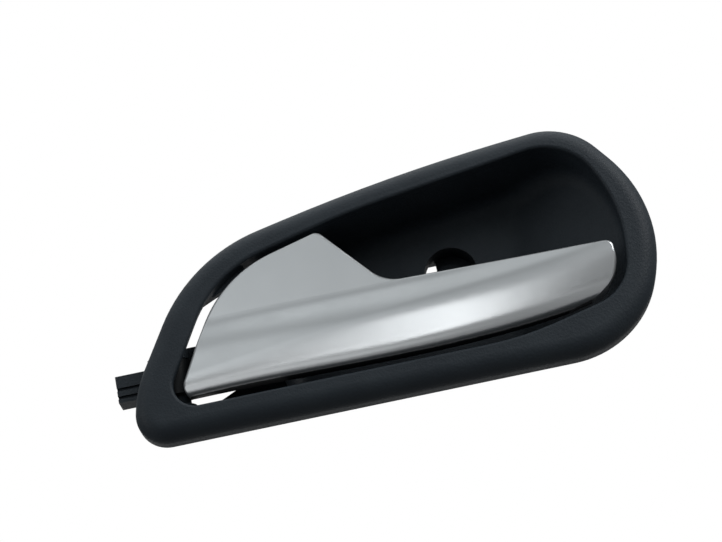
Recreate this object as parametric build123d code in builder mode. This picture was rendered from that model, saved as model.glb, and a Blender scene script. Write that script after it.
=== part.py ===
"""Interior door release handle: a bezel housing with a finger cup, and a sprung pull lever."""
import os
from math import acos, atan2, cos, degrees, radians, sin, tan

from build123d import *

# Frame: the origin is on the fixing-screw axis at the mounting plane, X runs along the handle
# towards the lever's tip, Z is up and -Y points out into the cabin.
# Depths are measured from the bezel's face into the door, and all sizes are in millimetres.

# Depths of the housing
recess_depth = 24.0
well_depth = 8.0
seat_thickness = 2.5
skirt_depth = 9.0
lip_depth = 3.5
cup_side_top = 11.0
face_height = recess_depth + well_depth + seat_thickness

# Walls and roundings of the housing
bezel_wall = 2.3
cup_wall = 2.2
bezel_roll = 5.4
lip_round = 1.0
cup_round = 6.0
rib_thickness = 1.4
rib_inset = 1.2
rib_places = (-45.0, -22.0, 1.0, 24.0)
crest_rim_points = [(-79.4, -1.8), (-64.0, 5.1), (-59.0, 5.1), (-59.0, 40.0), (-79.4, 40.0)]
crest_rim_depth = 7.0
crest_ledge_reach = 3.0
crest_ledge_thickness = 2.2

# Bezel outline: corner points in X and Z, each with its rounding, from the lower left round
bezel_corners = [
    (-106.0, -43.3, 9.5),
    (53.0, -43.3, 32.0),
    (67.8, 1.0, 44.0),
    (44.8, 33.8, 22.0),
    (-14.0, 28.5, 600.0),
    (-80.0, 14.3, 52.0),
    (-102.6, -24.6, 38.0),
]

# Opening in the bezel, in the same order
opening_corners = [
    (-95.9, -34.5, 7.0),
    (16.0, -34.5, 100.0),
    (50.3, -26.5, 15.0),
    (54.7, 0.8, 45.0),
    (43.0, 27.4, 18.0),
    (-29.6, 17.2, 250.0),
    (-73.1, 6.3, 38.0),
]

# Finger cup: its left wall, the draft of its walls and the ramp at its right end
cup_left = -59.0
cup_corner_round = 6.0
cup_draft = 8.9
ramp_foot_x = 21.4
ramp_foot_angle = 79.0
ramp_end_x = 55.8
ramp_end_depth = 3.6
foot_round = 8.0

# Brace beside the cup, low behind the paddle: its points in X and Z, and its thickness
brace_points = [(-57.5, -36.0), (-57.5, -25.0), (-72.0, -28.3), (-80.0, -32.0), (-80.0, -36.0)]
brace_thickness = 2.0

# Screw well in the cup's floor
well_radius = 8.4
screw_radius = 3.3
collar_radius = 5.2
collar_height = 1.5
well_window_edge = -3.9
well_window_height = 14.4

# Pull lever: gaps to the opening, blade, shoulder and skin
gap_left = 3.9
gap_diagonal = 2.1
gap_top = 1.6
gap_bottom = 3.0
tip_x = 49.0
tip_top = -9.8
tip_heel_round = 13.0
tip_round = 2.5
blade_root_x = -21.6
blade_root_z = -7.8
blade_root_round = 12.0
shoulder_angle = 50.5
apex_round = 3.0
lever_toe_round = 4.0
lever_skin = 2.6
lever_edge_round = 0.8
fold_start = 23.5
fold_middle = 18.0
fold_end = 13.0
fold_end_share = 0.93
bulge_middle = 8.0
roll_overlap = 0.8
head_room = 4.0

# Lever sections from left to right: place in X, depth of the flat upper face, height of the bulge,
# rise of the lower edge, radius of its roll and depth of the underside behind it
lever_sections = [
    (-97.0, 1.6, 1.5, 0.0, 4.0, 4.6),
    (-40.0, 0.0, 2.6, 0.0, 5.0, 5.2),
    (5.0, -0.4, 3.0, 0.3, 7.0, 5.2),
    (56.0, 1.0, 2.2, 8.0, 5.0, 5.2),
]

# Hinge: pin, ears of the lever and lugs of the housing
pin_x = -90.0
pin_depth = 8.0
pin_radius = 2.0
pin_head_radius = 2.8
pin_head_height = 1.2
pin_end = 2.4
ear_radius = 5.0
ear_thickness = 3.0
ear_lift = 2.9
cover_wall = 1.1
lug_radius = 4.8
lug_guard_left = -86.4
lug_guard_right = -81.0
lug_guard_thickness = 3.4
lug_guard_height = 4.0
lower_web_left = -101.0
lower_boss_radius = 3.2
lower_lug_thickness = 3.5
upper_lug_thickness = 2.8
axial_gap = 0.4
web_lead = 1.5
lower_gusset_x = -85.0
upper_gusset_x = -80.5
gusset_end_x = -68.0
gusset_end_depth = 6.0
lower_lug_gap = 0.6
running_gap = 0.06
lug_fit = 0.02

# Retaining ring in the pin's groove
ring_thickness = 0.6
ring_radius = 3.7
groove_depth = 0.6

# Cable arm of the lever and the cable abutment of the housing
arm_length = 12.0
arm_rest_angle = 0.0
arm_end_radius = 5.0
nipple_radius = 2.6
nipple_boss_height = 7.0
cable_slit = 2.0
arm_z = -19.0
stub_height = 8.8
stub_left = -110.0
stub_front = 16.0
stub_back = 23.0
neck_left = -98.2
neck_right = -95.6
ferrule_radius = 2.6
ferrule_length = 8.0
wire_slot = 2.0
stub_groove = 1.0
stub_groove_depth = 1.0
stub_groove_pitch = 2.7

# Trim hooks
hook_width = 7.0
hook_depth = 12.5
hook_length = 8.0
hook_reach = 1.8
hook_top_x = (-42.0, 8.0)
hook_bottom_x = (-42.0, -2.0)

# Return spring
wire_radius = 0.4
coil_radius = 3.1
whole_turns = 4
lower_leg_length = 7.8
upper_leg_reach = 6.5
hook_rise = 3.4
ledge_thickness = 4.0

# Rubber rest buffer
rest_pad_x = -63.0
rest_pad_z = -1.0
rest_pad_radius = 3.6
rest_depth = 5.6
buffer_head_radius = 3.6
buffer_head_height = 2.6
buffer_stem_radius = 1.6
buffer_stem_length = 4.0
buffer_post_radius = 4.4
buffer_post_end = 16.0

# Allowances for cuts: how far they run past a face, the room in front of the bezel's face, and a
# length greater than the whole part
cut_overlap = 1.0
front_room = 6.0
long_span = 200.0

# Places worked out from the sizes above
opening_bottom = opening_corners[0][1]
lever_bottom = opening_bottom + gap_bottom
pin_y = pin_depth - face_height
upper_ear_bottom = arm_z - ear_thickness / 2
upper_ear_top = arm_z + ear_thickness / 2
upper_lug_bottom = upper_ear_top + axial_gap
upper_lug_top = upper_lug_bottom + upper_lug_thickness
lower_ear_bottom = lever_bottom + ear_lift
lower_ear_top = lower_ear_bottom + ear_thickness
lower_lug_top = lever_bottom - lower_lug_gap
lower_lug_bottom = lower_lug_top - lower_lug_thickness
nipple_x = pin_x - arm_length * sin(radians(arm_rest_angle))
nipple_depth = pin_depth + arm_length * cos(radians(arm_rest_angle))
ledge_depth = pin_depth + coil_radius + wire_radius + running_gap
wall_slope = tan(radians(cup_draft))


def depth_plane(depth):
    """Plane parallel to the bezel's face, facing the cabin, at a depth below it."""
    return Plane.XZ.offset(face_height - depth)


def meet(a, b, c, d):
    """Point where the line through a and b crosses the line through c and d."""
    ux, uz = b[0] - a[0], b[1] - a[1]
    vx, vz = d[0] - c[0], d[1] - c[1]
    along = ((c[0] - a[0]) * vz - (c[1] - a[1]) * vx) / (ux * vz - uz * vx)
    return a[0] + along * ux, a[1] + along * uz


def shifted(a, b, gap):
    """The line from a to b moved to its left, the inside of an outline, by a gap."""
    side = (Vector(b[0], b[1]) - Vector(a[0], a[1])).normalized().rotate(Axis.Z, 90) * gap
    return (a[0] + side.X, a[1] + side.Y), (b[0] + side.X, b[1] + side.Y)


def inset_corner(before, corner, after, gap_in, gap_out):
    """Corner of an outline whose two sides are moved inwards by their own gaps."""
    return meet(*shifted(before, corner, gap_in), *shifted(corner, after, gap_out))


def grown(corners, amount):
    """Outline moved outwards all round by an amount, or inwards if it is negative."""
    result = []
    for i, corner in enumerate(corners):
        after = corners[(i + 1) % len(corners)]
        x, z = inset_corner(corners[i - 1], corner, after, -amount, -amount)
        result.append((x, z, corner[2] + amount))
    return result


def outline_face(corners):
    """Flat face inside an outline with rounded corners."""
    with BuildSketch() as face:
        with BuildLine():
            FilletPolyline(
                *[(x, z) for x, z, _ in corners],
                radius=[rounding for _, _, rounding in corners],
                close=True,
            )
        make_face()
    return face.sketch


def slab(x0, x1, depth0, depth1):
    """Rectangle in the current level sketch between two X places and two depths."""
    with Locations(((x0 + x1) / 2, (depth0 + depth1) / 2 - face_height)):
        Rectangle(x1 - x0, depth1 - depth0)


# Finger cup: outline at the lip, and the plane of the ramp at its right end
top_line = (opening_corners[5], opening_corners[6])
cup_top_left = meet(*top_line, (cup_left, 0), (cup_left, 1))
mouth_corners = [
    (cup_left, opening_bottom, cup_corner_round),
    *opening_corners[1:6],
    (*cup_top_left, cup_corner_round),
]
foot_line = Vector(cos(radians(ramp_foot_angle)), 0, sin(radians(ramp_foot_angle)))
ramp_rise = Vector(ramp_end_x - ramp_foot_x, ramp_end_depth - recess_depth, 0)
ramp_plane = Plane(
    origin=(ramp_foot_x, recess_depth - face_height, 0),
    x_dir=foot_line,
    z_dir=ramp_rise.cross(foot_line).normalized(),
)

# Bezel band as a filled block, and the hollow behind it
with BuildPart() as bezel_block:
    with BuildSketch(depth_plane(skirt_depth)):
        add(outline_face(bezel_corners))
    extrude(amount=skirt_depth)
    fillet(bezel_block.edges().group_by(Axis.Y)[0], radius=bezel_roll)

with BuildPart() as bezel_hollow:
    with BuildSketch(depth_plane(skirt_depth)):
        add(outline_face(grown(bezel_corners, -bezel_wall)))
    extrude(amount=skirt_depth - bezel_wall)
    fillet(bezel_hollow.edges().group_by(Axis.Y)[0], radius=bezel_roll - bezel_wall)

# Finger cup as a filled shell, and the space inside it
with BuildPart() as cup_shell:
    with BuildSketch(depth_plane(lip_depth)):
        add(outline_face(grown(mouth_corners, cup_wall)))
    extrude(amount=recess_depth + cup_wall - lip_depth, dir=(0, 1, 0), taper=cup_draft)
    split(bisect_by=ramp_plane.offset(-cup_wall), keep=Keep.TOP)
    with BuildSketch(depth_plane(lip_depth)):
        add(outline_face(grown(mouth_corners, cup_wall)))
    extrude(amount=lip_depth - bezel_wall / 2)

with BuildPart() as cup_space:
    with BuildSketch(depth_plane(lip_depth)):
        add(outline_face(mouth_corners))
    extrude(amount=recess_depth - lip_depth, dir=(0, 1, 0), taper=cup_draft)
    split(bisect_by=ramp_plane, keep=Keep.TOP)
    ramp_foot = cup_space.edges().group_by(Axis.Y)[-1].sort_by(Axis.X)[-1]
    fillet(ramp_foot, radius=foot_round)
    bottom_faces = cup_space.faces().filter_by(lambda face: face.normal_at().dot(ramp_plane.z_dir) < 0)
    wall_feet = [edge for edge in bottom_faces.edges() if edge.center().Y > lip_depth - face_height]
    fillet(wall_feet, radius=cup_round)

# Stiffening ribs between the cup and the skirt
with BuildPart() as band_ribs:
    for x in rib_places:
        with BuildSketch(Plane.XY.offset(-long_span / 2)):
            slab(x - rib_thickness / 2, x + rib_thickness / 2, bezel_wall / 2, skirt_depth - rib_inset)
        extrude(amount=long_span)
    add(bezel_block.part, mode=Mode.INTERSECT)

# Neck and web of the upper lug behind the bezel's left end, inside the band
with BuildPart() as neck_root:
    with BuildSketch(Plane.XY.offset(arm_z - stub_height / 2)):
        slab(neck_left, neck_right, bezel_wall / 2, skirt_depth)
    extrude(amount=stub_height)
    with BuildSketch(Plane.XY.offset(upper_lug_bottom)):
        slab(neck_left, pin_x - lug_radius, bezel_wall / 2, skirt_depth)
    extrude(amount=upper_lug_thickness)
    add(bezel_block.part, mode=Mode.INTERSECT)

# Places of the trim hooks on the cup's outer walls
wall_shift = cup_wall - (hook_depth - lip_depth) * wall_slope
hook_places = [
    (x, meet(opening_corners[4], opening_corners[5], (x, 0), (x, 1))[1] + wall_shift, 1)
    for x in hook_top_x
]
hook_places += [(x, opening_bottom - wall_shift, -1) for x in hook_bottom_x]

# Bezel housing
with BuildPart() as bezel_housing:
    add(bezel_block.part)
    add(bezel_hollow.part, mode=Mode.SUBTRACT)
    add(cup_shell.part)
    add(band_ribs.part)
    # Rim and ledge behind the opening's crest, and the brace beside the cup
    for reach, height in ((0, crest_rim_depth - bezel_wall / 2), (crest_ledge_reach, crest_ledge_thickness)):
        with BuildSketch(depth_plane(crest_rim_depth)):
            add(outline_face(grown(opening_corners, cup_wall)))
            with BuildLine():
                Polyline(*crest_rim_points, close=True)
            make_face(mode=Mode.INTERSECT)
            add(outline_face(grown(opening_corners, -reach)), mode=Mode.SUBTRACT)
        extrude(amount=height)
    with BuildSketch(depth_plane(cup_side_top + brace_thickness)):
        with BuildLine():
            Polyline(*brace_points, close=True)
        make_face()
    extrude(amount=brace_thickness)
    # Screw well and buffer post
    with BuildSketch(Plane.XZ):
        Circle(well_radius + cup_wall)
    extrude(amount=well_depth + seat_thickness)
    with BuildSketch(depth_plane(buffer_post_end)):
        with Locations((rest_pad_x, rest_pad_z)):
            Circle(buffer_post_radius)
    extrude(amount=buffer_post_end - rest_depth - buffer_head_height)
    # Neck and cable abutment
    add(neck_root.part)
    with BuildSketch(Plane.XY.offset(arm_z - stub_height / 2)):
        slab(neck_left, neck_right, skirt_depth - cut_overlap, stub_back)
        slab(stub_left, neck_right, stub_front, stub_back)
    extrude(amount=stub_height)
    # Ledge for the spring's lower leg
    with BuildSketch(Plane.XY.offset(lower_ear_top)):
        slab(neck_left, neck_right, ledge_depth, ledge_depth + ledge_thickness)
    extrude(amount=arm_z - lower_ear_top)
    # Trim hooks on the cup's walls
    for x, z, side in hook_places:
        with BuildSketch(Plane.YZ.offset(x - hook_width / 2)):
            with BuildLine():
                Polyline(
                    (hook_depth - face_height, z - side * cup_wall),
                    (hook_depth - face_height, z + side * hook_reach),
                    (hook_depth + hook_length - face_height, z - side * hook_length * wall_slope),
                    (hook_depth + hook_length - face_height, z - side * 2 * cup_wall),
                    close=True,
                )
            make_face()
        extrude(amount=hook_width)
    # Hinge lugs
    with BuildSketch(Plane.XY.offset(upper_lug_bottom)):
        with Locations((pin_x, pin_y)):
            Circle(lug_radius)
        slab(neck_right, pin_x, pin_depth - lug_radius, pin_depth + lug_radius)
    extrude(amount=upper_lug_thickness)
    with BuildSketch(Plane.XY.offset(upper_lug_bottom)):
        slab(lug_guard_left, lug_guard_right, pin_depth, pin_depth + lug_guard_thickness)
    extrude(amount=lug_guard_height)
    with BuildSketch(Plane.XY.offset(lower_lug_bottom)):
        with Locations((pin_x, pin_y)):
            Circle(lug_radius)
        slab(lower_web_left, pin_x, pin_depth - lug_radius, pin_depth + lug_radius)
        slab(lower_web_left, pin_x - lug_radius, bezel_wall / 2, pin_depth)
    extrude(amount=lower_lug_thickness)
    with BuildSketch(Plane.XY.offset(lower_lug_top)):
        with Locations((pin_x, pin_y)):
            Circle(lower_boss_radius)
    extrude(amount=lower_ear_bottom - axial_gap - lower_lug_top)
    # Opening, cup and the low left wall behind the paddle
    with BuildSketch(depth_plane(lip_depth)):
        add(outline_face(opening_corners))
    extrude(amount=lip_depth + cut_overlap, mode=Mode.SUBTRACT)
    add(cup_space.part, mode=Mode.SUBTRACT)
    with BuildSketch(depth_plane(cup_side_top)):
        add(outline_face(opening_corners))
        with Locations((cup_left - cup_wall / 2, 0)):
            Rectangle(3 * cup_wall, long_span, mode=Mode.INTERSECT)
    extrude(amount=cup_side_top - lip_depth, mode=Mode.SUBTRACT)
    # Screw well, screw hole with its collar, and the window beside the seat
    with BuildSketch(Plane.XZ.offset(seat_thickness)):
        Circle(well_radius)
    extrude(amount=well_depth + cut_overlap, mode=Mode.SUBTRACT)
    with BuildSketch(Plane.XZ.offset(seat_thickness)):
        Circle(collar_radius)
    extrude(amount=collar_height)
    with BuildSketch(Plane.XZ):
        with Locations((well_window_edge - well_radius / 2, 0)):
            Rectangle(well_radius, well_window_height)
    extrude(amount=seat_thickness + collar_height + cut_overlap, mode=Mode.SUBTRACT)
    with BuildSketch(Plane.XZ):
        Circle(screw_radius)
    extrude(amount=seat_thickness + collar_height, mode=Mode.SUBTRACT)
    # Cable abutment: seat for the sheath's ferrule, slot for the wire and grooves in front
    for x0, x1, radius in (
        (stub_left, stub_left + ferrule_length, ferrule_radius),
        (stub_left, neck_right, wire_slot / 2),
    ):
        with BuildSketch(Plane.YZ.offset(x0)):
            with Locations((nipple_depth - face_height, arm_z)):
                Circle(radius)
            with Locations(((nipple_depth + stub_back) / 2 - face_height, arm_z)):
                Rectangle(stub_back - nipple_depth, 2 * radius)
        extrude(amount=x1 - x0, mode=Mode.SUBTRACT)
    for z in (arm_z, arm_z - stub_groove_pitch):
        with BuildSketch(Plane.XY.offset(z - stub_groove / 2)):
            slab(stub_left, neck_left, stub_front, stub_front + stub_groove_depth)
        extrude(amount=stub_groove, mode=Mode.SUBTRACT)
    # Hole for the buffer's stem
    with BuildSketch(depth_plane(rest_depth + buffer_head_height)):
        with Locations((rest_pad_x, rest_pad_z)):
            Circle(buffer_stem_radius)
    extrude(amount=-buffer_stem_length, mode=Mode.SUBTRACT)
    # Hinge bores
    with BuildSketch(Plane.XY.offset(lower_lug_bottom)):
        with Locations((pin_x, pin_y)):
            Circle(pin_radius + lug_fit)
    extrude(amount=upper_lug_top - lower_lug_bottom, mode=Mode.SUBTRACT)
    # Soft edge of the opening
    face = bezel_housing.faces().filter_by(Axis.Y).sort_by(Axis.Y)[0]
    fillet(face.inner_wires()[0].edges(), radius=lip_round)

# Pull lever outline, worked out from the opening and the gaps
blade_root = (blade_root_x, blade_root_z)
shoulder_top = (
    blade_root_x - cos(radians(shoulder_angle)),
    blade_root_z + sin(radians(shoulder_angle)),
)
toe, belly, heel, _, _, brow, crest = opening_corners
lever_top_line = shifted(brow, crest, gap_top)
trim_gap = gap_bottom - roll_overlap
lever_heel_line = shifted(belly, heel, trim_gap)
lever_corners = [
    (*inset_corner(crest, toe, belly, gap_left, trim_gap), lever_toe_round),
    (*inset_corner(toe, belly, heel, trim_gap, trim_gap), belly[2]),
    (*meet(*lever_heel_line, (tip_x, 0), (tip_x, 1)), tip_heel_round),
    (tip_x, tip_top, tip_round),
    (*blade_root, blade_root_round),
    (*meet(blade_root, shoulder_top, *lever_top_line), apex_round),
    (*inset_corner(brow, crest, toe, gap_top, gap_diagonal), crest[2]),
]
lever_top = lever_corners[5][1] + head_room


def lever_curve(flat, bulge, rise, roll, inset):
    """Points of the lever's section from the end of its flat face to the rolled lower edge."""
    crown = flat - bulge
    foot = lever_bottom + rise
    turn = roll * (1 - sin(radians(45)))
    slant = inset * sin(radians(45))
    points = [
        (flat + inset, foot + fold_start),
        (flat - bulge / 2 + inset, foot + fold_middle),
        (flat - bulge * fold_end_share + inset, foot + fold_end),
        (crown + inset, foot + bulge_middle),
        (crown + turn + slant, foot + turn + slant),
        (crown + roll, foot + inset),
    ]
    return [(depth - face_height, z) for depth, z in points]


def lever_section_face(flat, bulge, rise, roll, under):
    """Section of the lever's skin: flat upper face, soft fold, bulge and rolled lower edge."""
    front = lever_curve(flat, bulge, rise, roll, 0)
    back = lever_curve(flat, bulge, rise, roll, lever_skin)
    with BuildSketch() as section:
        with BuildLine():
            Line((front[0][0], lever_top), front[0])
            Spline(*front, tangents=((0, -1), (1, 0)))
            Polyline(
                front[-1],
                (under - face_height, front[-1][1]),
                (under - face_height, back[-1][1]),
                back[-1],
            )
            Spline(*back, tangents=((0, -1), (1, 0)))
            Line(back[0], (back[0][0], lever_top))
            Line((back[0][0], lever_top), (front[0][0], lever_top))
        make_face()
    return section.sketch


def lever_core_face(flat, bulge, rise, roll):
    """Section of the space behind the middle of the lever's skin."""
    front = lever_curve(flat, bulge, rise, roll, lever_skin / 2)
    rear = front[0][0] + 2 * arm_length
    with BuildSketch() as section:
        with BuildLine():
            Line((front[0][0], lever_top), front[0])
            Spline(*front, tangents=((0, -1), (1, 0)))
            Polyline(
                front[-1],
                (front[-1][0], lever_bottom),
                (rear, lever_bottom),
                (rear, lever_top),
                (front[0][0], lever_top),
            )
        make_face()
    return section.sketch


# Skin of the lever, cut to its outline and softened along its front edge
with BuildPart() as lever_shell:
    for x, *form in lever_sections:
        with BuildSketch(Plane.YZ.offset(x)):
            add(lever_section_face(*form))
    loft()
    with BuildSketch(depth_plane(skirt_depth)):
        add(outline_face(lever_corners))
    extrude(amount=skirt_depth + front_room, mode=Mode.INTERSECT)
    curved = lever_shell.faces().filter_by(GeomType.BSPLINE)
    rim_walls = lever_shell.faces().filter_by(GeomType.BSPLINE, reverse=True)
    front = curved.filter_by(lambda skin: skin.normal_at().Y < -cos(radians(45)))
    front_rim = front.edges() & rim_walls.edges()
    fillet(front_rim.sort_by(Axis.X), radius=lever_edge_round)

# Ears, cable arm and rest pad behind the skin
with BuildPart() as lever_core:
    for x, *form, _ in lever_sections:
        with BuildSketch(Plane.YZ.offset(x)):
            add(lever_core_face(*form))
    loft()

with BuildPart() as lever_frame:
    for bottom, gusset_x in ((lower_ear_bottom, lower_gusset_x), (upper_ear_bottom, upper_gusset_x)):
        with BuildSketch(Plane.XY.offset(bottom)):
            with Locations((pin_x, pin_y)):
                Circle(ear_radius)
            with BuildLine():
                Polyline(
                    (pin_x, pin_y - web_lead),
                    (gusset_x, pin_y - web_lead),
                    (gusset_x, -face_height - front_room),
                    (gusset_end_x, -face_height - front_room),
                    (gusset_end_x, gusset_end_depth - face_height),
                    (pin_x, pin_y + ear_radius),
                    close=True,
                )
            make_face()
        extrude(amount=ear_thickness)
    with BuildSketch(depth_plane(rest_depth)):
        with Locations((rest_pad_x, rest_pad_z)):
            Circle(rest_pad_radius)
    extrude(amount=rest_depth + front_room)
    add(lever_core.part, mode=Mode.INTERSECT)
    # Cover in front of the spring, between the ears
    with BuildSketch(Plane.XY.offset(lower_ear_top)):
        with Locations((pin_x, pin_y)):
            Circle(ear_radius)
            Circle(ear_radius - cover_wall, mode=Mode.SUBTRACT)
            Rectangle(2 * ear_radius, ear_radius, align=(Align.CENTER, Align.MAX), mode=Mode.INTERSECT)
    extrude(amount=upper_ear_bottom - lower_ear_top)
    # Cable arm
    with BuildSketch(Plane.XY.offset(upper_ear_bottom)):
        with BuildLine():
            CenterArc((pin_x, pin_y), ear_radius, 0, 360)
            CenterArc((nipple_x, nipple_depth - face_height), arm_end_radius, 0, 360)
        make_hull()
    extrude(amount=ear_thickness)
    with BuildSketch(Plane.XY.offset(arm_z - nipple_boss_height / 2)):
        with Locations((nipple_x, nipple_depth - face_height)):
            Circle(arm_end_radius)
    extrude(amount=nipple_boss_height)

# Pull lever
with BuildPart() as pull_lever:
    add(lever_shell.part)
    add(lever_frame.part)
    with BuildSketch(Plane.XY.offset(lower_ear_bottom)):
        with Locations((pin_x, pin_y)):
            Circle(pin_radius + running_gap)
    extrude(amount=upper_ear_top - lower_ear_bottom, mode=Mode.SUBTRACT)
    with BuildSketch(Plane.XY.offset(arm_z - nipple_boss_height / 2)):
        with Locations((nipple_x, nipple_depth - face_height)):
            Circle(nipple_radius)
    extrude(amount=nipple_boss_height, mode=Mode.SUBTRACT)
    with BuildSketch(Plane.XY.offset(arm_z - cable_slit / 2)):
        slab(
            nipple_x - 2 * arm_end_radius,
            nipple_x,
            nipple_depth - cable_slit / 2,
            nipple_depth + cable_slit / 2,
        )
    extrude(amount=nipple_boss_height, mode=Mode.SUBTRACT)

# Hinge pin with a flat head at the top and a groove for the ring below the lower lug
pin_bottom = lower_lug_bottom - pin_end
ring_bottom = lower_lug_bottom - ring_thickness - axial_gap / 4
with BuildPart() as hinge_pin:
    with BuildSketch(Plane.XY.offset(pin_bottom)):
        with Locations((pin_x, pin_y)):
            Circle(pin_radius)
    extrude(amount=upper_lug_top - pin_bottom)
    with BuildSketch(Plane.XY.offset(upper_lug_top)):
        with Locations((pin_x, pin_y)):
            Circle(pin_head_radius)
    extrude(amount=pin_head_height)
    chamfer(hinge_pin.edges().group_by(Axis.Z)[0], length=pin_radius / 5)
    fillet(hinge_pin.edges().group_by(Axis.Z)[-1], radius=pin_head_height / 2)
    with BuildSketch(Plane.XY.offset(ring_bottom)):
        with Locations((pin_x, pin_y)):
            Circle(pin_radius)
            Circle(pin_radius - groove_depth, mode=Mode.SUBTRACT)
    extrude(amount=ring_thickness, mode=Mode.SUBTRACT)

# Retaining ring, open on one side
with BuildPart() as pin_ring:
    with BuildSketch(Plane.XY.offset(ring_bottom)):
        with Locations((pin_x, pin_y)):
            Circle(ring_radius)
            Circle(pin_radius - groove_depth, mode=Mode.SUBTRACT)
        with Locations((pin_x, pin_y + ring_radius)):
            Rectangle(2 * (pin_radius - groove_depth), 2 * ring_radius, mode=Mode.SUBTRACT)
    extrude(amount=ring_thickness)

# Rubber rest buffer: a button with a stem pressed into the housing's post
with BuildPart() as rest_buffer:
    with BuildSketch(depth_plane(rest_depth + buffer_head_height)):
        with Locations((rest_pad_x, rest_pad_z)):
            Circle(buffer_head_radius)
    extrude(amount=buffer_head_height)
    fillet(rest_buffer.edges().group_by(Axis.Y)[0], radius=buffer_head_height / 3)
    with BuildSketch(depth_plane(rest_depth + buffer_head_height)):
        with Locations((rest_pad_x, rest_pad_z)):
            Circle(buffer_stem_radius)
    extrude(amount=-buffer_stem_length)

# Return spring: a coil round the pin, a straight lower leg and a hooked upper leg
coil_start = Vector(pin_x, pin_y + coil_radius, lower_ear_top + axial_gap + wire_radius)
coil_top = upper_ear_bottom - axial_gap - wire_radius
arm_flank = ear_radius + (arm_end_radius - ear_radius) * upper_leg_reach / arm_length
hook_foot = Vector(pin_x + arm_flank + wire_radius + running_gap, pin_y + upper_leg_reach, coil_top)
from_pin = hook_foot - Vector(pin_x, pin_y, coil_top)
leave_angle = degrees(atan2(from_pin.Y, from_pin.X) + acos(coil_radius / from_pin.length))
coil_turns = whole_turns - (leave_angle - 90) / 360
coil_end = Vector(coil_radius, 0, 0).rotate(Axis.Z, leave_angle) + Vector(pin_x, pin_y, coil_top)
spring_points = [
    (coil_start - Vector(lower_leg_length, 0, 0), coil_start),
    (coil_end, hook_foot),
    (hook_foot, hook_foot + Vector(0, 0, hook_rise)),
]
with BuildPart() as return_spring:
    with BuildLine(Plane(origin=(pin_x, pin_y, coil_start.Z), x_dir=(0, 1, 0))) as coil:
        Helix(
            pitch=(coil_top - coil_start.Z) / coil_turns,
            height=coil_top - coil_start.Z,
            radius=coil_radius,
            lefthand=True,
        )
    with BuildSketch(Plane(origin=coil.line @ 0, z_dir=coil.line % 0)):
        Circle(wire_radius)
    sweep(path=coil.line, is_frenet=True)
    for start, end in spring_points:
        with BuildSketch(Plane(origin=start, z_dir=end - start)):
            Circle(wire_radius)
        extrude(amount=(end - start).length)
        with Locations(start, end):
            Sphere(wire_radius)

pieces = {
    "bezel_housing": bezel_housing,
    "pull_lever": pull_lever,
    "hinge_pin": hinge_pin,
    "pin_ring": pin_ring,
    "return_spring": return_spring,
    "rest_buffer": rest_buffer,
}
os.makedirs("parts", exist_ok=True)
for name, piece in pieces.items():
    piece.part.label = name
    export_step(piece.part, f"parts/{name}.step")
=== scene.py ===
"""Looks of the car door handle: finishes, moulding marks, studio light and the photograph's camera."""
import math

import bpy
from mathutils import Matrix, Vector


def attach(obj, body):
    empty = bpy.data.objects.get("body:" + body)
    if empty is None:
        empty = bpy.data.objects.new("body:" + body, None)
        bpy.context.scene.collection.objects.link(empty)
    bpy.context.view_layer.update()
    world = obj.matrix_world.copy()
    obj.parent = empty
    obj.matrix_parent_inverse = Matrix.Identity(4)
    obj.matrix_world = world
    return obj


MM = 0.001

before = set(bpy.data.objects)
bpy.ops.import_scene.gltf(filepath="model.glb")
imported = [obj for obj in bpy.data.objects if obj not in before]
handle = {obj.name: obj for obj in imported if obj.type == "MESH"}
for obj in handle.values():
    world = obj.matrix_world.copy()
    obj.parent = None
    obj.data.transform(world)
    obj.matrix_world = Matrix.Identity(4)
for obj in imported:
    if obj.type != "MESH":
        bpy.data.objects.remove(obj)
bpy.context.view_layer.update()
scene = bpy.context.scene


# Shader steps


def new_finish(name):
    """Material with its node tree, its surface shader and its texture coordinates."""
    finish = bpy.data.materials.new(name)
    finish.use_nodes = True
    tree = finish.node_tree
    place = tree.nodes.new("ShaderNodeTexCoord")
    return finish, tree, tree.nodes["Principled BSDF"], place


def noise(tree, place, size, detail=2.0):
    """Noise on the piece's own coordinates, with features of a size in metres."""
    node = tree.nodes.new("ShaderNodeTexNoise")
    node.inputs["Scale"].default_value = 1.0 / size
    node.inputs["Detail"].default_value = detail
    tree.links.new(place.outputs["Object"], node.inputs["Vector"])
    return node.outputs["Fac"]


def cells(tree, place, size):
    """Cell pattern on the piece's own coordinates: distance to the middle, and a shade for each cell."""
    node = tree.nodes.new("ShaderNodeTexVoronoi")
    node.inputs["Scale"].default_value = 1.0 / size
    tree.links.new(place.outputs["Object"], node.inputs["Vector"])
    return node.outputs["Distance"], node.outputs["Color"]


def parts_of(tree, vector):
    """X, Y and Z of a vector."""
    node = tree.nodes.new("ShaderNodeSeparateXYZ")
    tree.links.new(vector, node.inputs["Vector"])
    return node.outputs["X"], node.outputs["Y"], node.outputs["Z"]


def spread(tree, value, start, end, low, high):
    """Value between start and end, spread between low and high."""
    node = tree.nodes.new("ShaderNodeMapRange")
    node.interpolation_type = "SMOOTHSTEP"
    node.inputs["From Min"].default_value = start
    node.inputs["From Max"].default_value = end
    node.inputs["To Min"].default_value = low
    node.inputs["To Max"].default_value = high
    tree.links.new(value, node.inputs["Value"])
    return node.outputs["Result"]


def drift(tree, pattern, low, high):
    """Noise, which mostly keeps to the middle of its range, spread between low and high."""
    return spread(tree, pattern, 0.3, 0.7, low, high)


def masked(tree, mask, outside, inside):
    """One value outside a mask and another inside it."""
    return spread(tree, mask, 0.0, 1.0, outside, inside)


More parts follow.
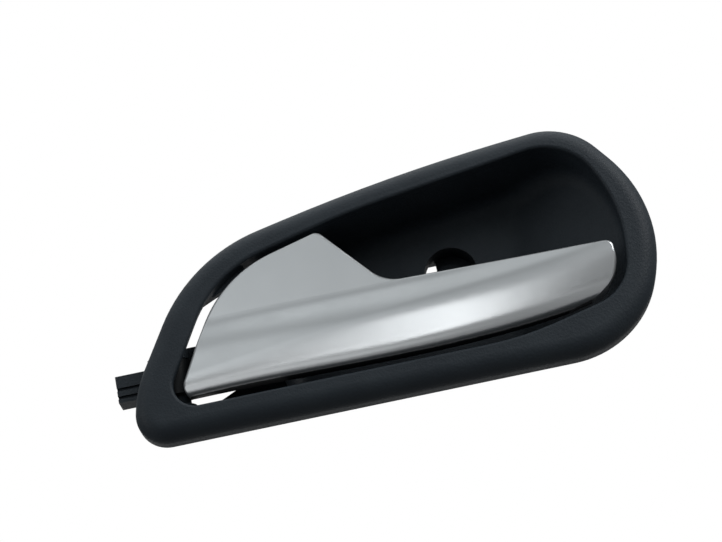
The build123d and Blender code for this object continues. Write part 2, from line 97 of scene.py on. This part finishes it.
def mixed(tree, factor, first, second):
    """Colour between two colours, each given as numbers or as another node's output."""
    node = tree.nodes.new("ShaderNodeMix")
    node.data_type = "RGBA"
    tree.links.new(factor, node.inputs["Factor"])
    for socket, colour in ((node.inputs[6], first), (node.inputs[7], second)):
        if isinstance(colour, tuple):
            socket.default_value = (*colour, 1.0)
        else:
            tree.links.new(colour, socket)
    return node.outputs[2]


def reckon(tree, operation, first, second):
    """One step of arithmetic on two values, each a number or another node's output."""
    node = tree.nodes.new("ShaderNodeMath")
    node.operation = operation
    for socket, value in zip(node.inputs, (first, second)):
        if isinstance(value, (int, float)):
            socket.default_value = value
        else:
            tree.links.new(value, socket)
    return node.outputs["Value"]


def relief(tree, taker, height, distance, strength):
    """Surface relief of a depth in metres, given to a shader or to another relief on top of it."""
    node = tree.nodes.new("ShaderNodeBump")
    node.inputs["Distance"].default_value = distance
    node.inputs["Strength"].default_value = strength
    tree.links.new(height, node.inputs["Height"])
    tree.links.new(node.outputs["Normal"], taker.inputs["Normal"])
    return node


# Finishes

plastic_shades = (0.0175, 0.0240, 0.0310), (0.0220, 0.0295, 0.0370)
pore_size = 0.75 * MM
grain_size = 0.35 * MM
grain_depth = 0.06 * MM

paint_shades = (0.468, 0.489, 0.502), (0.492, 0.513, 0.526)
dust_shade = (0.10, 0.10, 0.10)
# Near-black colour for the bare plastic, darkened further as painted shade for the lever's shadowed underside
# and hinge cover
bare_and_shadow_colour = (0.006, 0.007, 0.008)
paint_end = (-28.4 * MM, -28.0 * MM)
pin_place = (-90.0 * MM, -26.5 * MM, 0.0)
hinge_cover_edge = (5.1 * MM, 5.3 * MM)
belly_slope = -0.11
belly_edges = (-26.4 * MM, -14.9 * MM)
belly_depth = 1.3 * MM

plate_shades = (0.40, 0.40, 0.39), (0.52, 0.52, 0.51)
wire_shades = (0.045, 0.045, 0.048), (0.10, 0.10, 0.10)
rubber_shades = (0.014, 0.014, 0.014), (0.030, 0.030, 0.030)


def grained_plastic():
    """Dark moulded plastic with a fine grain and slight mottling."""
    finish, tree, shader, place = new_finish("grained_plastic")
    pores, _ = cells(tree, place, pore_size)
    fine = noise(tree, place, grain_size, 3.0)
    broad = noise(tree, place, 14 * MM, 3.0)
    tree.links.new(mixed(tree, drift(tree, broad, 0.0, 1.0), *plastic_shades), shader.inputs["Base Color"])
    tree.links.new(drift(tree, fine, 0.52, 0.64), shader.inputs["Roughness"])
    shader.inputs["IOR"].default_value = 1.48
    shader.inputs["Specular IOR Level"].default_value = 0.25
    relief(tree, shader, reckon(tree, "ADD", pores, fine), grain_depth, 1.0)
    return finish


def bare_plastic_and_painted_shade(tree, place):
    """Mask of the lever's unpainted plastic, its back and the cover round its hinge, and of painted shade on
    its downward-facing underside.
    """
    x, y, _ = parts_of(tree, place.outputs["Object"])
    _, backward, upward = parts_of(tree, place.outputs["Normal"])
    rear = spread(tree, backward, 0.15, 0.45, 0.0, 1.0)
    deep = spread(tree, y, *paint_end, 0.0, 1.0)
    # Downward-facing faces get the near-black colour as painted shade
    painted_under_shade = spread(tree, upward, -0.985, -0.93, 1.0, 0.0)
    level_place = tree.nodes.new("ShaderNodeCombineXYZ")
    tree.links.new(x, level_place.inputs["X"])
    tree.links.new(y, level_place.inputs["Y"])
    from_pin = tree.nodes.new("ShaderNodeVectorMath")
    from_pin.operation = "DISTANCE"
    tree.links.new(level_place.outputs["Vector"], from_pin.inputs[0])
    from_pin.inputs[1].default_value = pin_place
    hinge = spread(tree, from_pin.outputs["Value"], *hinge_cover_edge, 1.0, 0.0)
    behind = reckon(tree, "MAXIMUM", rear, deep)
    return reckon(tree, "MAXIMUM", reckon(tree, "MAXIMUM", painted_under_shade, hinge), behind)


def dust_specks(tree, place):
    """Mask of rare round specks, in about one cell of ten."""
    spot, shade = cells(tree, place, 11 * MM)
    chosen = tree.nodes.new("ShaderNodeSeparateColor")
    tree.links.new(shade, chosen.inputs["Color"])
    rare = spread(tree, chosen.outputs["Red"], 0.90, 0.91, 0.0, 1.0)
    return reckon(tree, "MULTIPLY", rare, spread(tree, spot, 0.022, 0.034, 1.0, 0.0))


def silver_paint():
    """Satin silver paint on the lever's front, with bare dark plastic behind, painted shade on its underside
    and rare specks of dust.
    """
    finish, tree, shader, place = new_finish("silver_paint")
    flake = noise(tree, place, 0.16 * MM, 2.0)
    cloud = noise(tree, place, 22 * MM, 2.0)
    bare_and_shade = bare_plastic_and_painted_shade(tree, place)
    paint = mixed(tree, drift(tree, cloud, 0.0, 1.0), *paint_shades)
    dusted = mixed(tree, dust_specks(tree, place), paint, dust_shade)
    tree.links.new(mixed(tree, bare_and_shade, dusted, bare_and_shadow_colour), shader.inputs["Base Color"])
    tree.links.new(masked(tree, bare_and_shade, 0.88, 0.0), shader.inputs["Metallic"])
    tree.links.new(masked(tree, bare_and_shade, 0.5, 0.12), shader.inputs["Specular IOR Level"])
    satin = drift(tree, flake, 0.275, 0.295)
    dull = masked(tree, bare_and_shade, 0.0, 0.5)
    tree.links.new(reckon(tree, "MAXIMUM", satin, dull), shader.inputs["Roughness"])
    orange_peel = relief(tree, shader, flake, 0.004 * MM, 0.03)
    # The fullness of the blade's lower half, which rises towards its tip
    x, _, z = parts_of(tree, place.outputs["Object"])
    along = reckon(tree, "MULTIPLY", x, belly_slope)
    belly = spread(tree, reckon(tree, "ADD", z, along), *belly_edges, 0.0, 1.0)
    relief(tree, orange_peel, belly, belly_depth, 1.0)
    return finish


def plated_steel():
    """Bright plated steel with fine marks and slight stains."""
    finish, tree, shader, place = new_finish("plated_steel")
    marks = noise(tree, place, 0.12 * MM, 2.0)
    stain = noise(tree, place, 2.5 * MM, 3.0)
    tree.links.new(mixed(tree, stain, *plate_shades), shader.inputs["Base Color"])
    shader.inputs["Metallic"].default_value = 1.0
    tree.links.new(drift(tree, marks, 0.25, 0.42), shader.inputs["Roughness"])
    relief(tree, shader, marks, 0.01 * MM, 0.3)
    return finish


def oiled_wire():
    """Dark oiled spring wire with uneven gloss."""
    finish, tree, shader, place = new_finish("oiled_wire")
    film = noise(tree, place, 0.25 * MM, 3.0)
    tree.links.new(mixed(tree, film, *wire_shades), shader.inputs["Base Color"])
    shader.inputs["Metallic"].default_value = 0.9
    tree.links.new(drift(tree, film, 0.30, 0.45), shader.inputs["Roughness"])
    return finish


def dull_rubber():
    """Dull black rubber with a faint bloom."""
    finish, tree, shader, place = new_finish("dull_rubber")
    bloom = noise(tree, place, 1.2 * MM, 4.0)
    tree.links.new(mixed(tree, bloom, *rubber_shades), shader.inputs["Base Color"])
    tree.links.new(drift(tree, bloom, 0.75, 0.9), shader.inputs["Roughness"])
    relief(tree, shader, bloom, 0.02 * MM, 0.3)
    return finish


def dress(node, finish):
    """Give a node of the part its finish."""
    handle[node].data.materials.clear()
    handle[node].data.materials.append(finish)


plastic = grained_plastic()
steel = plated_steel()
dress("bezel_housing", plastic)
dress("pull_lever", silver_paint())
dress("hinge_pin", steel)
dress("pin_ring", steel)
dress("return_spring", oiled_wire())
dress("rest_buffer", dull_rubber())


# Moulding marks


def ejector_marks(name, seats, radius, height, finish):
    """Low round marks of the mould's ejector pins, one at each seat, standing out towards the door."""
    tree = bpy.data.node_groups.new(name, "GeometryNodeTree")
    face = tree.interface
    face.new_socket("Seats", in_out="INPUT", socket_type="NodeSocketGeometry")
    radius_in = face.new_socket("Mark radius", in_out="INPUT", socket_type="NodeSocketFloat")
    height_in = face.new_socket("Mark height", in_out="INPUT", socket_type="NodeSocketFloat")
    face.new_socket("Marks", in_out="OUTPUT", socket_type="NodeSocketGeometry")
    source = tree.nodes.new("NodeGroupInput")
    result = tree.nodes.new("NodeGroupOutput")
    mark = tree.nodes.new("GeometryNodeMeshCylinder")
    mark.inputs["Vertices"].default_value = 40
    tree.links.new(source.outputs["Mark radius"], mark.inputs["Radius"])
    tree.links.new(source.outputs["Mark height"], mark.inputs["Depth"])
    scatter = tree.nodes.new("GeometryNodeInstanceOnPoints")
    scatter.inputs["Rotation"].default_value = (math.radians(90), 0, 0)
    tree.links.new(source.outputs["Seats"], scatter.inputs["Points"])
    tree.links.new(mark.outputs["Mesh"], scatter.inputs["Instance"])
    real = tree.nodes.new("GeometryNodeRealizeInstances")
    tree.links.new(scatter.outputs["Instances"], real.inputs["Geometry"])
    coat = tree.nodes.new("GeometryNodeSetMaterial")
    coat.inputs["Material"].default_value = finish
    tree.links.new(real.outputs["Geometry"], coat.inputs["Geometry"])
    tree.links.new(coat.outputs["Geometry"], result.inputs["Marks"])
    seat_mesh = bpy.data.meshes.new(name + "_seats")
    seat_mesh.from_pydata(seats, [], [])
    marks = bpy.data.objects.new(name, seat_mesh)
    scene.collection.objects.link(marks)
    modifier = marks.modifiers.new("marks", "NODES")
    modifier.node_group = tree
    modifier[radius_in.identifier] = radius
    modifier[height_in.identifier] = height
    evaluated = marks.evaluated_get(bpy.context.evaluated_depsgraph_get())
    plain = bpy.data.meshes.new_from_object(evaluated)
    marks.modifiers.clear()
    marks.data = plain
    return marks


cup_back = -8.3 * MM
mark_radius = 2.4 * MM
mark_height = 0.3 * MM
mark_places = [(-46, -20), (-46, -2), (-22, -20), (-22, 8), (15, -20), (15, 10)]
mark_seats = [(x * MM, cup_back, z * MM) for x, z in mark_places]
cup_marks = ejector_marks("cup_ejector_marks", mark_seats, mark_radius, mark_height, plastic)
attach(cup_marks, "housing")


# Floor, light and camera

floor_height = -1.0
floor_size = 6.0
floor_grey = 0.12
floor_seen = 0.92
floor_mirrored = 0.30

# Sky from straight down, 0, through the horizon, 0.5, to straight up, 1
sky_bottom = (0.012, 0.013, 0.014, 1.0)
sky_top = (0.98, 1.0, 1.0, 1.0)
sky_levels = ((0.40, 0.02), (0.50, 0.22), (0.64, 0.74), (0.71, 0.76), (0.81, 0.36), (0.91, 0.92))

# Name, place, width and height in metres, power in watts, and the one piece lit or none for all
lamps = (
    ("front_softbox", (0.050, -1.015, -0.21), 0.14, 0.72, 1.45, "pull_lever"),
    ("low_softbox", (-0.375, -0.4835, -0.658), 0.75, 0.75, 1.15, "pull_lever"),
    ("left_softbox", (-0.336, -0.88, -0.06), 0.31, 0.80, 0.40, "pull_lever"),
    ("top_softbox", (0.15, -0.10, 0.95), 0.90, 0.70, 3.0, "bezel_housing"),
    ("cup_softbox", (-0.854, -0.368, 0.122), 0.50, 0.50, 1.5, "bezel_housing"),
    ("side_softbox", (0.85, -0.60, 0.60), 0.80, 0.60, 9.5, None),
)

face_middle = (-28 * MM, -34.5 * MM, -3 * MM)
camera_distance = 620 * MM
camera_below = math.radians(22.0)
camera_roll = math.radians(11.8)
camera_focal = 100.7


def pale_floor(height, size):
    """Plain floor below the part, shown white to the camera and partly so in reflections."""
    reach = size / 2
    sheet = bpy.data.meshes.new("floor")
    corners = [(x * reach, y * reach, height) for x, y in ((-1, -1), (1, -1), (1, 1), (-1, 1))]
    sheet.from_pydata(corners, [], [(0, 1, 2, 3)])
    floor = bpy.data.objects.new("floor", sheet)
    scene.collection.objects.link(floor)
    finish = bpy.data.materials.new("pale_floor")
    finish.use_nodes = True
    tree = finish.node_tree
    shader = tree.nodes["Principled BSDF"]
    shader.inputs["Base Color"].default_value = (floor_grey, floor_grey, floor_grey, 1.0)
    shader.inputs["Roughness"].default_value = 0.9
    glow = tree.nodes.new("ShaderNodeEmission")
    path = tree.nodes.new("ShaderNodeLightPath")
    mirrored = reckon(tree, "MAXIMUM", path.outputs["Is Glossy Ray"], path.outputs["Is Transmission Ray"])
    seen = reckon(tree, "MULTIPLY", path.outputs["Is Camera Ray"], floor_seen)
    share = reckon(tree, "MAXIMUM", seen, reckon(tree, "MULTIPLY", mirrored, floor_mirrored))
    blend = tree.nodes.new("ShaderNodeMixShader")
    tree.links.new(share, blend.inputs["Fac"])
    tree.links.new(shader.outputs["BSDF"], blend.inputs[1])
    tree.links.new(glow.outputs["Emission"], blend.inputs[2])
    tree.links.new(blend.outputs["Shader"], tree.nodes["Material Output"].inputs["Surface"])
    sheet.materials.append(finish)
    return floor


def softbox(name, place, aim, width, height, power, lit=None):
    """Rectangular studio light that faces a point, and lights one piece alone where that is given."""
    lamp = bpy.data.lights.new(name, "AREA")
    lamp.shape = "RECTANGLE"
    lamp.size = width
    lamp.size_y = height
    lamp.energy = power
    box = bpy.data.objects.new(name, lamp)
    scene.collection.objects.link(box)
    box.location = place
    box.rotation_euler = (Vector(aim) - Vector(place)).to_track_quat("-Z", "Y").to_euler()
    if lit is not None:
        takers = bpy.data.collections.new(name + "_takers")
        takers.objects.link(lit)
        box.light_linking.receiver_collection = takers


def studio_world():
    """Soft light that is strong from above and weak from below, on a white background."""
    world = bpy.data.worlds.new("studio")
    world.use_nodes = True
    scene.world = world
    tree = world.node_tree
    light = tree.nodes["Background"]
    white = tree.nodes.new("ShaderNodeBackground")
    white.inputs["Color"].default_value = (1.0, 1.0, 1.0, 1.0)
    place = tree.nodes.new("ShaderNodeTexCoord")
    x, y, z = parts_of(tree, place.outputs["Generated"])
    sky = tree.nodes.new("ShaderNodeValToRGB")
    stops = sky.color_ramp.elements
    stops[0].position = 0.0
    stops[0].color = sky_bottom
    stops[1].position = 1.0
    stops[1].color = sky_top
    for position, level in sky_levels:
        stop = stops.new(position)
        stop.color = (level * 0.97, level, level * 1.01, 1.0)
    height = reckon(tree, "ADD", reckon(tree, "MULTIPLY", z, 0.5), 0.5)
    tree.links.new(height, sky.inputs["Fac"])
    tree.links.new(sky.outputs["Color"], light.inputs["Color"])
    across = spread(tree, x, -0.20, 0.28, 1.25, 0.50)
    far_left = spread(tree, x, -0.75, -0.30, 0.25, 1.0)
    tree.links.new(reckon(tree, "MULTIPLY", across, far_left), light.inputs["Strength"])
    path = tree.nodes.new("ShaderNodeLightPath")
    behind = spread(tree, y, 0.86, 0.90, 0.0, 1.0)
    mirrored = reckon(tree, "MAXIMUM", path.outputs["Is Glossy Ray"], path.outputs["Is Transmission Ray"])
    shown = reckon(tree, "MAXIMUM", path.outputs["Is Camera Ray"], reckon(tree, "MULTIPLY", mirrored, behind))
    blend = tree.nodes.new("ShaderNodeMixShader")
    tree.links.new(shown, blend.inputs["Fac"])
    tree.links.new(light.outputs["Background"], blend.inputs[1])
    tree.links.new(white.outputs["Background"], blend.inputs[2])
    tree.links.new(blend.outputs["Shader"], tree.nodes["World Output"].inputs["Surface"])


def photo_camera(target, distance, below, roll, focal):
    """Camera that looks up at the handle from below, turned about its own axis as in the photograph."""
    back = Vector((0, -math.cos(below), -math.sin(below)))
    level = Vector((1, 0, 0))
    rise = Vector((0, -math.sin(below), math.cos(below)))
    right = level * math.cos(roll) - rise * math.sin(roll)
    up = level * math.sin(roll) + rise * math.cos(roll)
    lens = bpy.data.cameras.new("photo_camera")
    lens.sensor_fit = "HORIZONTAL"
    lens.sensor_width = 36.0
    lens.lens = focal
    lens.clip_start = 0.01
    camera = bpy.data.objects.new("photo_camera", lens)
    scene.collection.objects.link(camera)
    turn = Matrix((right, up, back)).transposed().to_4x4()
    camera.matrix_world = Matrix.Translation(Vector(target) + back * distance) @ turn
    scene.camera = camera


pale_floor(floor_height, floor_size)
for name, place, width, height, power, taker in lamps:
    softbox(name, place, face_middle, width, height, power, handle[taker] if taker else None)
studio_world()
scene.view_settings.view_transform = "Standard"
photo_camera(face_middle, camera_distance, camera_below, camera_roll, camera_focal)
